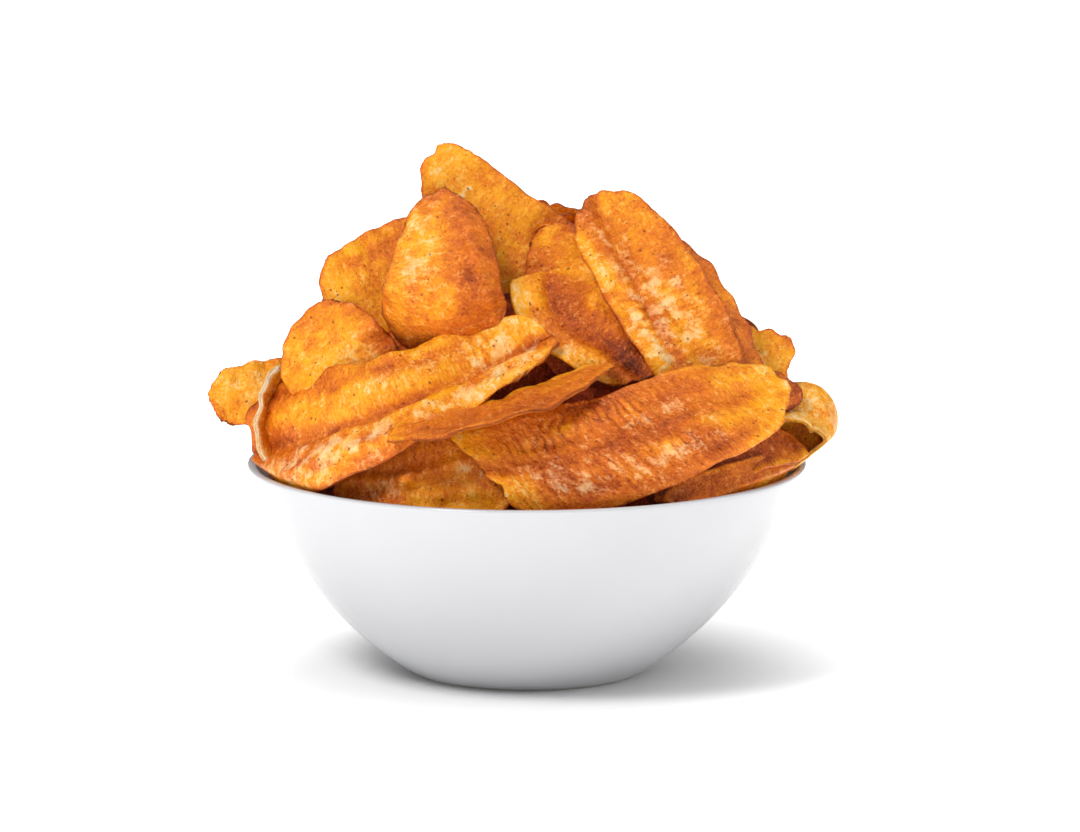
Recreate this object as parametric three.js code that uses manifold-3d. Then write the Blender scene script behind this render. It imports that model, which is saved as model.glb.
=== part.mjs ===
// Bowl of banana chips: long fried slices heaped well over the rim of a plain white bowl.
// Millimetres, +Z up. The origin is the middle of the flat underside of the bowl, and the
// view that everything was measured from looks along +Y.
import * as THREE from 'three';
import { mergeVertices } from 'three/addons/utils/BufferGeometryUtils.js';
import Module from 'manifold-3d';

const wasm = await Module();
wasm.setup();

// ---- the bowl
const rimHeight = 68;
const wallArc = 127;          // radius of the wall's curve, seen from the side
const wallCentre = [-30.8, 107];
const wall = 2.8;
const floorThickness = 3.4;
const baseRadius = 35;
const bowlSides = 56;

// ---- the heap
const clearance = 0.35;       // from the fried slices to the glaze
const sliceThickness = 1.4;
const coreFoot = 52;          // height where the core leaves the wall of the bowl
const coreTop = 143;
const coreSides = 24;
const coreSwell = 28;         // how far the core reaches out to a slice that lies over it
const coreShrink = 8;         // and how far it draws back under one
const rowLength = 18;         // mesh step along a slice
const columnWidth = 8.6;      // and across it

const wallRadius = (z, inset) =>
  wallCentre[0] + Math.sqrt((wallArc - inset) ** 2 - (z - wallCentre[1]) ** 2);

// The section of the bowl, from the middle of the underside round to the middle of the
// floor. With grow over 0 it is the room that the slices keep clear of.
function bowlSection(grow) {
  const outer = (z) => wallRadius(z, -grow);
  const inner = (z) => wallRadius(z, wall + grow);
  const points = [[0, -grow], [baseRadius, -grow], [baseRadius + 2.6, 0.3 - grow], [baseRadius + 4.4, 1.2]];
  for (const z of [2.6, 8, 16, 25, 35, 46, 57, 66]) points.push([outer(z), z]);
  points.push([outer(67.2), 67.2], [outer(67.8) - 0.4, 67.8 + grow * 0.7], [88.9, rimHeight + grow],
    [88.1, rimHeight + grow], [inner(67.7) + 0.3, 67.7 + grow * 0.7], [inner(67), 67]);
  for (const z of [60, 49, 38, 28, 19, 12, 7.4]) points.push([inner(z), z]);
  points.push([inner(7.4) - 4, 5 + grow], [inner(7.4) - 9, floorThickness + 0.2 + grow],
    [0, floorThickness + grow]);
  return points;
}

function turned(section, sides) {
  const shape = new THREE.LatheGeometry(section.map(([r, z]) => new THREE.Vector2(r, z)), sides);
  shape.rotateX(Math.PI / 2);
  return shape;
}

function toSolid(geometry) {
  const plain = geometry.clone();
  plain.deleteAttribute('normal');
  plain.deleteAttribute('uv');
  const merged = mergeVertices(plain, 1e-4);
  const corners = [];
  for (let i = 0; i < merged.index.count; i += 3) {
    const [a, b, c] = [0, 1, 2].map((k) => merged.index.getX(i + k));
    if (a !== b && b !== c && c !== a) corners.push(a, b, c);
  }
  return new wasm.Manifold(new wasm.Mesh({
    numProp: 3,
    vertProperties: Float32Array.from(merged.attributes.position.array),
    triVerts: Uint32Array.from(corners),
  }));
}

function toGeometry(solid) {
  const mesh = solid.getMesh();
  const geometry = new THREE.BufferGeometry();
  geometry.setAttribute('position', new THREE.BufferAttribute(mesh.vertProperties, 3));
  geometry.setIndex(new THREE.BufferAttribute(mesh.triVerts, 1));
  return geometry;
}

// ---- one slice
// A slice is cut lengthwise from the fruit: a long rounded sheet that follows a path, with
// its broad side turned to face. cup bows it across (degrees of arc, negative domes it
// toward face), groove is the seam of the seeds and lobes the swelling on both sides of it,
// tips says how square the two ends are, taper widens it toward the far end, slant skews
// the ends, and ruffle is how far the edges buckled in the oil.
const plainSlice = {
  face: [0, -1, 0.5], width: 34, cup: -20, tips: [2.8, 2.8], taper: 0, slant: 0,
  groove: 0, lobes: 0, ruffle: 1.1, waves: 2.5, lump: 0.8, uneven: 0.022, seed: 1,
};

const slices = {
  // the face of the heap
  frontLong: { path: [[-14, -71, 77], [24, -70, 84], [54, -60, 94], [80, -42, 101]],
    face: [0.12, -1, 0.45], width: 35, cup: -35, tips: [5, 2.6], groove: 0.8, lobes: 1.4, taper: -0.12,
    slant: 0.5, seed: 3 },
  rightTall: { path: [[22, -19, 156], [39, -33, 131], [61, -45, 98]],
    face: [0.3, -1, 0.4], width: 33, cup: 18, tips: [2.8, 3], groove: 1, lobes: 1.2, seed: 5 },
  behindRight: { path: [[36, -18, 143], [52, -31, 123], [68, -41, 97]],
    face: [0.5, -1, 0.4], width: 31, cup: -30, seed: 7 },
  centreDark: { path: [[8, -22.5, 133], [13, -34, 121], [39, -47, 103]],
    face: [0.1, -1, 0.45], width: 27, cup: 30, tips: [5, 2.2], taper: -0.2, seed: 9 },
  darkBehind: { path: [[9, -18, 147], [11, -23, 131], [14, -32, 113]],
    face: [0, -1, 0.3], width: 22, cup: -30, seed: 11 },
  topBack: { path: [[-31, -14, 170], [-11, -16, 147], [21, -18, 122]],
    face: [0.1, -1, 0.3], width: 32, cup: -20, tips: [2.4, 3], taper: 0.24, seed: 13 },
  upperFold: { path: [[-29, -37, 106], [-27, -46, 133], [-26, -25, 159]],
    face: [-0.1, -1, 0.35], width: 40, cup: -90, tips: [4, 2], taper: -0.26, seed: 15 },
  upperLeft: { path: [[-64, -19, 122], [-48, -18, 128], [-26, -14, 142]],
    face: [-0.1, -1, 0.3], width: 32, tips: [3.2, 3], seed: 17 },
  midLeft: { path: [[-73, -24, 116], [-62, -32, 107], [-48, -37, 89]],
    face: [-0.3, -1, 0.35], width: 37, cup: -40, seed: 19 },
  farLeft: { path: [[-101, -10, 90], [-84, -8, 91], [-58, -6, 92]],
    face: [0, -0.8, 0.6], width: 24, cup: -10, seed: 21 },
  leftCurl: { path: [[-76, -20, 102], [-80, -22, 94], [-82, -24, 85], [-81, -25, 77], [-74, -24, 71]],
    face: [1, -0.4, 0.2], width: 18, cup: 0, ruffle: 0.6, seed: 23 },
  leftLong: { path: [[-86, -27, 75], [-47, -54, 93.5], [7, -43, 116]],
    face: [[-0.5, -0.8, 0.4], [-0.2, -0.7, 0.7], [-0.2, -0.7, 0.7]], width: 38, cup: 20, tips: [3.6, 3], groove: 1, lobes: 2.6, taper: -0.3, seed: 25 },
  crescent: { path: [[-43, -68, 88], [-7, -70, 96], [25, -50, 107]],
    face: [[-0.2, -0.3, 1], [-0.2, -0.1, 1], [-0.2, -0.15, 1]], width: 23, cup: 26, ruffle: 0.8, seed: 27 },
  bottomLeft: { path: [[-57, -52, 71], [-34, -61, 76], [-4, -66, 76]],
    face: [-0.1, -1, 0.35], width: 34, tips: [3, 3.4], seed: 29 },
  underFront: { path: [[-20, -62, 66], [4, -64, 64], [40, -62, 66]],
    face: [0, -1, 0.4], width: 26, cup: 0, seed: 45 },
  innerRed: { path: [[-10, -30, 100], [8, -30, 102], [34, -34, 98]],
    face: [0, -1, 0.2], width: 28, cup: 0, seed: 43 },
  // the right-hand side
  rightSmall: { path: [[52, -14, 110], [67, -14, 105], [84, -14, 101]],
    face: [0.1, -0.8, 0.6], width: 22, cup: 0, tips: [3, 5], seed: 31 },
  redBehind: { path: [[62, -18, 98], [75, -20, 95], [87, -22, 91]],
    face: [0.1, -0.8, 0.6], width: 14, cup: 0, ruffle: 0.6, seed: 33 },
  rightCurl: { path: [[64, -20, 85], [82, -18, 89], [92, -16, 87], [97, -16, 80], [94, -16, 74],
    [88, -18, 72.5], [80, -18, 68], [66, -22, 64]],
    face: [[0, -0.2, 1], [0.2, -0.2, 1], [0.8, -0.2, 0.8], [1, -0.2, -0.1], [0.8, -0.2, -0.6],
      [0.3, -0.1, -1], [0.1, -0.1, -1], [0.1, -0.1, -1]], width: 24, cup: 0, ruffle: 0.6, seed: 35 },
  underRight: { path: [[40, -62, 68], [60, -52, 76], [76, -38, 79], [88, -26, 77]],
    face: [0.3, -0.7, 0.7], width: 16, cup: 0, seed: 37 },
  edgeOn: { path: [[42, -66, 66], [60, -57, 69.5], [76, -43, 71], [88, -20, 71]],
    face: [0.5, -0.8, 0.5], width: 15, cup: 0, ruffle: 0.5, seed: 39 },
  curlInside: { path: [[60, -5, 79], [78, -6, 79], [95, -7, 78]],
    face: [0.1, -1, 0.1], width: 20, cup: 0, seed: 89 },
  rightGap: { path: [[82, 2, 76], [68, 2, 98], [52, -4, 120]],
    face: [0.9, -0.1, 0.4], width: 28, seed: 81 },
  rightInner: { path: [[50, -52, 78], [66, -40, 87], [75, -26, 91]],
    face: [0.7, -0.7, 0.4], width: 24, seed: 83 },
  sideRightLow: { path: [[85, -4, 72], [78, 20, 80], [56, 50, 80]],
    face: [1, 0.5, 0.4], width: 28, seed: 75 },
  rightMid: { path: [[80, 26, 88], [66, 14, 110], [44, 4, 134]],
    face: [0.8, 0.5, 0.6], width: 34, seed: 65 },
  // the left-hand side
  sideLeftLow: { path: [[-83, -2, 70], [-75, 28, 80], [-50, 56, 80]],
    face: [-1, 0.5, 0.4], width: 30, seed: 77 },
  leftGap: { path: [[-80, 3, 74], [-68, 3, 94], [-54, 0, 112]],
    face: [-0.9, 0.2, 0.4], width: 24, seed: 85 },
  leftMid: { path: [[-73, 16, 86], [-63, 9, 110], [-45, 4, 130]],
    face: [-0.8, 0.5, 0.6], width: 34, cup: 30, seed: 67 },
  // the back and the top
  backLowLeft: { path: [[-75, 28, 72], [-57, 53, 84], [-24, 71, 82]],
    face: [-0.6, 0.8, 0.5], width: 34, cup: -25, seed: 51 },
  backLow: { path: [[-34, 71, 76], [4, 75, 86], [42, 64, 80]],
    face: [0.1, 1, 0.5], width: 36, groove: 1.5, seed: 53 },
  backLowRight: { path: [[32, 66, 76], [61, 48, 88], [80, 16, 80]],
    face: [0.7, 0.6, 0.5], width: 34, cup: 20, seed: 55 },
  backMidLeft: { path: [[-72, 42, 88], [-54, 38, 112], [-34, 20, 140]],
    face: [-0.5, 0.6, 0.6], width: 36, groove: 1.4, seed: 57 },
  backMid: { path: [[-34, 66, 88], [-26, 52, 116], [-12, 27, 143]],
    face: [-0.1, 0.9, 0.5], width: 38, cup: -35, seed: 59 },
  backMidRight: { path: [[8, 68, 86], [14, 52, 114], [12, 23, 144]],
    face: [0.1, 0.9, 0.5], width: 34, cup: 25, groove: 1.6, seed: 61 },
  backRight: { path: [[46, 58, 88], [44, 42, 112], [30, 16, 142]],
    face: [0.5, 0.7, 0.5], width: 36, cup: -30, seed: 63 },
  acrossBackLeft: { path: [[-60, 50, 100], [-26, 64, 108], [12, 62, 106]],
    face: [-0.1, 0.8, 0.6], width: 32, cup: -30, seed: 71 },
  acrossBackRight: { path: [[12, 55, 117], [44, 45, 114], [70, 19, 102]],
    face: [0.4, 0.7, 0.6], width: 30, cup: -25, groove: 1.3, seed: 73 },
  topSide: { path: [[-30, 14, 146], [-8, 18, 145], [20, 18, 137]],
    face: [0, 0.6, 0.8], width: 28, seed: 69 },
  topCap: { path: [[-8, 2, 145], [12, -2, 144], [36, 0, 135]],
    face: [0.1, 0.1, 1], width: 26, seed: 79 },
  topLeft: { path: [[-58, 4, 118], [-40, 8, 134], [-14, 12, 142]],
    face: [-0.4, 0.1, 0.9], width: 30, cup: -20, seed: 87 },
};

const fraction = (x) => x - Math.floor(x);
const chance = (seed, k) => fraction(Math.sin(seed * 12.9898 + k * 78.233) * 43758.5453);
const blend = (a, b, t) => a + (b - a) * t;
const turn = 2 * Math.PI;

// The middle surface of a slice at s along and t across, both from -1 to 1.
function sliceSurface(given) {
  const slice = { ...plainSlice, ...given };
  const path = new THREE.CatmullRomCurve3(slice.path.map((p) => new THREE.Vector3(...p)), false, 'catmullrom', 0.5);
  const length = path.getLength();
  const { width, seed } = slice;
  const phase = [0, 1, 2, 3, 4, 5, 6, 7, 8].map((k) => turn * chance(seed, k));
  const faces = Array.isArray(slice.face[0]) ? slice.face : [slice.face, slice.face];
  const facing = (u) => {
    const x = u * (faces.length - 1);
    const k = Math.min(Math.floor(x), faces.length - 2);
    return new THREE.Vector3(...faces[k]).lerp(new THREE.Vector3(...faces[k + 1]), x - k);
  };
  const point = (s, t) => {
    const p = s * Math.sqrt(1 - t * t / 2);
    const q = t * Math.sqrt(1 - s * s / 2);
    const r2 = p * p + q * q;
    const angle = Math.atan2(q, p);
    const power = blend(slice.tips[0], slice.tips[1], (1 + Math.cos(angle)) / 2);
    const square = (Math.abs(Math.cos(angle)) ** power + Math.abs(Math.sin(angle)) ** power) ** (-1 / power);
    const edge = 1 + slice.uneven * (Math.sin(3 * angle + phase[1]) + 0.7 * Math.sin(5 * angle + phase[2])
      + 0.5 * Math.sin(9 * angle + phase[3]) + 0.35 * Math.sin(17 * angle + phase[4]));
    const spread = 1 + (square * edge - 1) * r2;
    const a = p * spread;
    const b = q * spread * (1 + slice.taper * a);
    const u = (a + 1) / 2 + slice.slant * b * width / 2 / length;
    const on = Math.min(Math.max(u, 0), 1);
    const along = path.getTangentAt(on);
    const place = path.getPointAt(on).addScaledVector(along, (u - on) * length);
    const out = facing(on);
    out.addScaledVector(along, -out.dot(along)).normalize();
    const across = new THREE.Vector3().crossVectors(along, out);
    const arc = THREE.MathUtils.degToRad(slice.cup) || 1e-3;
    const bow = width / arc;
    const y = b * width / 2;
    const x = a * length / 2;
    let lift = bow * (1 - Math.cos(y / bow));
    lift -= slice.groove * Math.exp(-((b / 0.16) ** 2)) * (1 - Math.min(Math.abs(a), 1) ** 6);
    lift += slice.lobes * (Math.sin(Math.PI * Math.abs(b)) - 0.5);
    lift += slice.ruffle * Math.abs(q) ** 2.2
      * Math.sin(turn * slice.waves * a + phase[5] + (q < 0 ? 1.7 : 0) * phase[6]);
    lift += slice.lump / 2 * (Math.sin(0.21 * x + 0.13 * y + phase[7]) + Math.sin(0.13 * x - 0.24 * y + phase[8]));
    place.addScaledVector(across, bow * Math.sin(y / bow)).addScaledVector(out, lift);
    // a slice that reaches the glaze lies along it, and leans out over the rim
    const room = wallRadius(THREE.MathUtils.clamp(place.z, 0, rimHeight), wall) - 1.4
      + 1.2 * Math.max(place.z - rimHeight, 0);
    const reach = Math.hypot(place.x, place.y);
    if (reach > room) {
      place.x *= room / reach;
      place.y *= room / reach;
    }
    return place;
  };
  return { point, length };
}

function sliceGeometry(given) {
  const { point, length } = sliceSurface(given);
  const rows = Math.max(4, Math.round(length / (given.path.length > 5 ? 7 : rowLength)));
  const columns = Math.min(4, Math.max(2, Math.round((given.width ?? plainSlice.width) / columnWidth)));
  const step = 0.02;
  const positions = [];
  for (const side of [1, -1]) {
    for (let i = 0; i <= rows; i += 1) {
      for (let j = 0; j <= columns; j += 1) {
        const [s, t] = [-1 + 2 * i / rows, -1 + 2 * j / columns];
        const [s0, t0] = [Math.max(s - step, -1), Math.max(t - step, -1)];
        const [s1, t1] = [Math.min(s + step, 1), Math.min(t + step, 1)];
        const along = point(s1, t * 0.98).sub(point(s0, t * 0.98));
        const across = point(s * 0.98, t1).sub(point(s * 0.98, t0));
        const normal = along.cross(across).normalize();
        positions.push(...point(s, t).addScaledVector(normal, side * sliceThickness / 2));
      }
    }
  }
  const index = [];
  const at = (i, j, side) => side * (rows + 1) * (columns + 1) + i * (columns + 1) + j;
  const quad = (a, b, c, d) => index.push(a, b, c, a, c, d);
  for (let i = 0; i < rows; i += 1) {
    for (let j = 0; j < columns; j += 1) {
      quad(at(i, j, 0), at(i + 1, j, 0), at(i + 1, j + 1, 0), at(i, j + 1, 0));
      quad(at(i, j, 1), at(i, j + 1, 1), at(i + 1, j + 1, 1), at(i + 1, j, 1));
    }
    quad(at(i, 0, 1), at(i + 1, 0, 1), at(i + 1, 0, 0), at(i, 0, 0));
    quad(at(i, columns, 0), at(i + 1, columns, 0), at(i + 1, columns, 1), at(i, columns, 1));
  }
  for (let j = 0; j < columns; j += 1) {
    quad(at(0, j, 0), at(0, j + 1, 0), at(0, j + 1, 1), at(0, j, 1));
    quad(at(rows, j, 1), at(rows, j + 1, 1), at(rows, j + 1, 0), at(rows, j, 0));
  }
  const geometry = new THREE.BufferGeometry();
  geometry.setAttribute('position', new THREE.Float32BufferAttribute(positions, 3));
  geometry.setIndex(index);
  return geometry;
}

// ---- the core: the hidden middle of the heap, which fills the bowl and rises to a blunt
// top. Its front is pulled in, so that the slices of the front stand clear of it.
function coreGeometry() {
  const gap = wall + clearance;
  const section = [[0, floorThickness + clearance], [26, floorThickness + clearance + 0.2]];
  for (const z of [9, 16, 26, 38, 48]) section.push([wallRadius(z, gap), z]);
  section.push([79, coreFoot], [78, 60], [74, 72], [68, 84], [60, 96], [51, 108], [42, 120], [33, 130],
    [22, 138], [10, 142], [0, coreTop]);
  const shape = turned(section, coreSides);
  const spots = shape.attributes.position;
  for (let i = 0; i < spots.count; i += 1) {
    const [x, y, z] = [spots.getX(i), spots.getY(i), spots.getZ(i)];
    const rise = THREE.MathUtils.clamp((z - coreFoot) / 30, 0, 1);
    const drift = Math.max(z - coreFoot, 0) / (coreTop - coreFoot);
    const angle = Math.atan2(y, x);
    const lumps = 1 + rise * (0.04 * Math.sin(3 * angle + z * 0.07) + 0.03 * Math.sin(5 * angle - z * 0.11 + 1));
    const depth = y < 0 ? 1 - 0.28 * rise : 1 - 0.1 * rise;
    spots.setXYZ(i, x * lumps * (1 - 0.04 * rise) - 2 * drift, y * lumps * depth + 4 * drift, z);
  }
  return shape;
}

// Above the bowl the core swells, or shrinks, to the slices that lie close over it, so that
// each of them rests on it. Between the slices it stays back.
function fitCore(shape, sheets) {
  const heart = new THREE.Vector3(-1, 4, 60);
  const ray = new THREE.Raycaster();
  const meshes = sheets.map((sheet) => new THREE.Mesh(sheet, new THREE.MeshStandardMaterial()));
  const spots = shape.attributes.position;
  for (let i = 0; i < spots.count; i += 1) {
    const spot = new THREE.Vector3().fromBufferAttribute(spots, i);
    if (spot.z < coreFoot) continue;
    const away = spot.clone().sub(heart);
    const distance = away.length();
    ray.set(heart, away.normalize());
    const hit = ray.intersectObjects(meshes).find((found) => found.distance > distance - coreShrink);
    if (!hit || hit.distance > distance + coreSwell) continue;
    spot.copy(heart).addScaledVector(away, hit.distance + sliceThickness / 2);
    spots.setXYZ(i, spot.x, spot.y, spot.z);
  }
  return shape;
}

// ---- the heap is one body: the slices are fused to the core, cut back where they would
// touch the bowl, and only the largest piece is kept, without what fusing sealed inside it
function heapGeometry() {
  const sheets = Object.values(slices).map(sliceGeometry);
  let heap = toSolid(fitCore(coreGeometry(), sheets));
  for (const sheet of sheets) heap = heap.add(toSolid(sheet));
  heap = heap.subtract(toSolid(turned(bowlSection(clearance), bowlSides)));
  const pieces = heap.decompose().sort((a, b) => b.volume() - a.volume());
  return toGeometry(pieces[0]);
}

const group = new THREE.Group();

const bowl = new THREE.Mesh(turned(bowlSection(0), bowlSides),
  new THREE.MeshStandardMaterial({ color: '#eeeff0', roughness: 0.16, metalness: 0 }));
bowl.name = 'bowl';
group.add(bowl);

const heap = new THREE.Mesh(heapGeometry(),
  new THREE.MeshStandardMaterial({ color: '#e2882c', roughness: 0.55, metalness: 0 }));
heap.name = 'banana_chips';
group.add(heap);

export default group;
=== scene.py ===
import math

import bpy
import numpy as np
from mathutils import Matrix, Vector
from mathutils.bvhtree import BVHTree


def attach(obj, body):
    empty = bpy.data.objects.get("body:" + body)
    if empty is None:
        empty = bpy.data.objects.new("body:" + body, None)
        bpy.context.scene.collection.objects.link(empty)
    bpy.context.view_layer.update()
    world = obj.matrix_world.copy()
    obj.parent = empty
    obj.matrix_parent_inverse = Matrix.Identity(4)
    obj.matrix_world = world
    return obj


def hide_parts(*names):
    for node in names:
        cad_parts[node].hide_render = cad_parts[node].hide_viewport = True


# Bowl of banana chips. Shapes are worked out in millimetres and stored in metres.
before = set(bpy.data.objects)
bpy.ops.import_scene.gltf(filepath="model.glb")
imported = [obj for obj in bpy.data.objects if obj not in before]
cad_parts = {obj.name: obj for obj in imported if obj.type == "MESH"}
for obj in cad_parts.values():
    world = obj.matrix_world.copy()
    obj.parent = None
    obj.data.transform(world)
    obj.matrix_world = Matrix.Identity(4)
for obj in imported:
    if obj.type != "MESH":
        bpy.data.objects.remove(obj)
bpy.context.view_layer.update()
print("frame loaded:", sorted(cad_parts))

mm = 0.001


def colour(hexCode):
    parts = [int(hexCode[i:i + 2], 16) / 255 for i in (1, 3, 5)]
    return [p / 12.92 if p <= 0.04045 else ((p + 0.055) / 1.055) ** 2.4 for p in parts] + [1.0]


# adds a node with its settings and links, and gives back the output that is asked for
def add(tree, kind, inputs=None, out=0, stops=None, **settings):
    made = tree.nodes.new(kind)
    count = len(tree.nodes)
    made.location = (230 * (count % 9) - 2100, 300 - 260 * (count // 9))
    for key, value in settings.items():
        setattr(made, key, value)
    for key, value in (inputs or {}).items():
        if isinstance(value, bpy.types.NodeSocket):
            tree.links.new(value, made.inputs[key])
        else:
            made.inputs[key].default_value = value
    if stops:
        ramp = made.color_ramp.elements
        while len(ramp) < len(stops):
            ramp.new(0.999)
        for stop, (place, code) in zip(ramp, stops):
            stop.position = place
            stop.color = colour(code)
    return made.outputs[out]


def newMaterial(name):
    material = bpy.data.materials.new(name)
    material.use_nodes = True
    return material, material.node_tree, material.node_tree.nodes["Principled BSDF"]


# Fried banana: thin crisp starch soaked with oil, dusted with seasoning. It browns from cream
# through gold and orange to dark red, lets some light through, and its fine blisters catch
# small lights, as the oil on them shines.
friedBanana = {
    # from scorched to cream
    "browning": [(0.0, "#541A05"), (0.14, "#883608"), (0.28, "#B2500C"), (0.42, "#CC6612"),
                 (0.56, "#E07A10"), (0.67, "#EE9412"), (0.78, "#F4AC30"), (0.87, "#F7C878"),
                 (1.0, "#FBE8C8")],
    "mottle": 0.6, "mottleSize": 2.4,            # how far the browning varies, and over how many mm
    "wrinkle": (1.25, 0.6, 1.0),                 # the blisters are drawn out across the slice
    "grain": 0.62, "grainSize": 0.85,            # the real grain is half of that and would not show
    "blister": 1.1, "pits": 0.42,                # mm of relief of the mottle and of the grain
    "dust": "#C0440C", "dustShare": 0.24,
    "dustSize": 5.5,                             # mm across its patches
    "gold": "#F5A80A", "goldShare": 0.65,
    # the cream of bare starch, also used as painted highlight
    "starchAndHighlight": "#F0D2A0", "starchAndHighlightShare": 0.62,
    "fleck": "#8C2A08", "fleckShare": 0.75,
    "fleckSpacing": 1.7,                         # mm between flecks of seasoning, coarser than life
    "fleckRadius": 0.5, "fleckRelief": 0.1,      # mm
    "roughness": 0.32,
    "gloss": 0.26,                               # share of the usual mirror light, as the oil soaked in
    "through": 0.08,                             # share of the light that enters the slice
    "throughDepth": 1.2,                         # mm
}


def friedMaterial(name, **changes):
    look = {**friedBanana, **changes}
    material, tree, shader = newMaterial(name)
    place = add(tree, "ShaderNodeAttribute", out="Vector", attribute_name="cut")
    tone = add(tree, "ShaderNodeAttribute", out="Fac", attribute_name="browning")
    wrinkled = add(tree, "ShaderNodeVectorMath", {0: place, 1: look["wrinkle"]}, operation="MULTIPLY")
    mottle = add(tree, "ShaderNodeTexNoise", {
        "Vector": wrinkled, "Scale": 1 / look["mottleSize"],
        "Detail": 5.0, "Roughness": 0.68, "Distortion": 0.3})
    grain = add(tree, "ShaderNodeTexNoise", {
        "Vector": place, "Scale": 1 / look["grainSize"], "Detail": 2.0, "Roughness": 0.6})
    # about half the cells carry a fleck, each of its own size
    cells = add(tree, "ShaderNodeTexVoronoi", {"Vector": place, "Scale": 1 / look["fleckSpacing"]})
    cellMark = add(tree, "ShaderNodeSeparateColor", {"Color": tree.nodes[-1].outputs["Color"]})
    reach = add(tree, "ShaderNodeMapRange", {
        "Value": cellMark, "From Min": 0.5, "From Max": 1.0,
        "To Max": look["fleckRadius"] / look["fleckSpacing"]})
    fleck = add(tree, "ShaderNodeMath", {0: reach, 1: cells}, operation="SUBTRACT")
    fleck = add(tree, "ShaderNodeMapRange", {"Value": fleck, "From Max": 0.08})
    wide = add(tree, "ShaderNodeMath", {0: mottle, 1: 0.5}, operation="SUBTRACT")
    fine = add(tree, "ShaderNodeMath", {0: grain, 1: 0.5}, operation="SUBTRACT")
    total = add(tree, "ShaderNodeMath", {0: wide, 1: look["mottle"], 2: tone}, operation="MULTIPLY_ADD")
    total = add(tree, "ShaderNodeMath", {0: fine, 1: look["grain"], 2: total}, operation="MULTIPLY_ADD")
    skin = add(tree, "ShaderNodeValToRGB", {"Fac": total}, stops=look["browning"])
    # the dust lies thick in some of the browner places, and pale places between are golden
    spread = add(tree, "ShaderNodeTexNoise", {
        "Vector": place, "Scale": 1 / look["dustSize"], "Detail": 4.0, "Roughness": 0.66, "Distortion": 0.5})
    pale = add(tree, "ShaderNodeMapRange", {
        "Value": tone, "From Min": 0.5, "From Max": 0.66, "To Max": look["goldShare"]})
    bare = add(tree, "ShaderNodeMapRange", {
        "Value": spread, "From Min": 0.56, "From Max": 0.36, "To Max": pale})
    skin = add(tree, "ShaderNodeMixRGB", {0: bare, 1: skin, 2: colour(look["gold"])})
    dusty = add(tree, "ShaderNodeMapRange", {
        "Value": tone, "From Min": 0.5, "From Max": 0.72,
        "To Min": look["dustShare"], "To Max": look["dustShare"] / 3})
    dust = add(tree, "ShaderNodeMapRange", {
        "Value": spread, "From Min": 0.5, "From Max": 0.68, "To Max": dusty})
    skin = add(tree, "ShaderNodeMixRGB", {0: dust, 1: skin, 2: colour(look["dust"])})
    # dry starch stands out pale on the higher wrinkles, and the same pale is painted highlight there
    starchAndHighlightMix = add(tree, "ShaderNodeAttribute", out="Fac", attribute_name="starchAndHighlight")
    starchAndHighlightMix = add(tree, "ShaderNodeMath", {0: wide, 1: 2.0, 2: starchAndHighlightMix}, operation="MULTIPLY_ADD")
    starchAndHighlightMix = add(tree, "ShaderNodeMath", {0: fine, 1: 1.2, 2: starchAndHighlightMix}, operation="MULTIPLY_ADD")
    starchAndHighlightMix = add(tree, "ShaderNodeMapRange", {
        "Value": starchAndHighlightMix, "From Min": 0.2, "From Max": 0.86, "To Max": look["starchAndHighlightShare"]})
    skin = add(tree, "ShaderNodeMixRGB", {0: starchAndHighlightMix, 1: skin, 2: colour(look["starchAndHighlight"])})
    fleckShare = add(tree, "ShaderNodeMath", {0: fleck, 1: look["fleckShare"]}, operation="MULTIPLY")
    skin = add(tree, "ShaderNodeMixRGB", {0: fleckShare, 1: skin, 2: colour(look["fleck"])})
    tree.links.new(skin, shader.inputs["Base Color"])
    rough = add(tree, "ShaderNodeMapRange", {
        "Value": mottle, "From Min": 0.3, "From Max": 0.7,
        "To Min": look["roughness"] - 0.08, "To Max": look["roughness"] + 0.14})
    tree.links.new(rough, shader.inputs["Roughness"])
    bump = add(tree, "ShaderNodeBump", {"Height": mottle, "Distance": look["blister"] * mm})
    bump = add(tree, "ShaderNodeBump", {"Height": grain, "Distance": look["pits"] * mm, "Normal": bump})
    bump = add(tree, "ShaderNodeBump", {
        "Height": fleck, "Distance": look["fleckRelief"] * mm, "Normal": bump})
    tree.links.new(bump, shader.inputs["Normal"])
    shader.inputs["IOR"].default_value = 1.47        # frying oil
    shader.inputs["Specular IOR Level"].default_value = look["gloss"]
    shader.inputs["Subsurface Weight"].default_value = look["through"]
    shader.inputs["Subsurface Radius"].default_value = (1.0, 0.45, 0.15)      # red goes deepest
    shader.inputs["Subsurface Scale"].default_value = look["throughDepth"] * mm
    return material


# White stoneware glaze: glassy, poured on and fired. It is smooth with a faint slow wave and
# a few pinholes, and the foot that stood in the kiln is bare and dry.
whiteGlaze = {
    "glaze": "#C1C1C3", "bare": "#E2DACD",
    "bareBelow": (0.2, 0.6),                         # mm above the table, where the glaze thins out
    "waveSize": 14.0, "waveDepth": 0.03,             # mm
    "cloudSize": 38.0,                               # mm over which the white varies a little
    "pinholeSpacing": 9.0, "pinholeRadius": 0.2,     # mm
    "pinholeDepth": 0.04,                            # mm
    "roughness": 0.13, "bareRoughness": 0.75,
}


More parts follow.
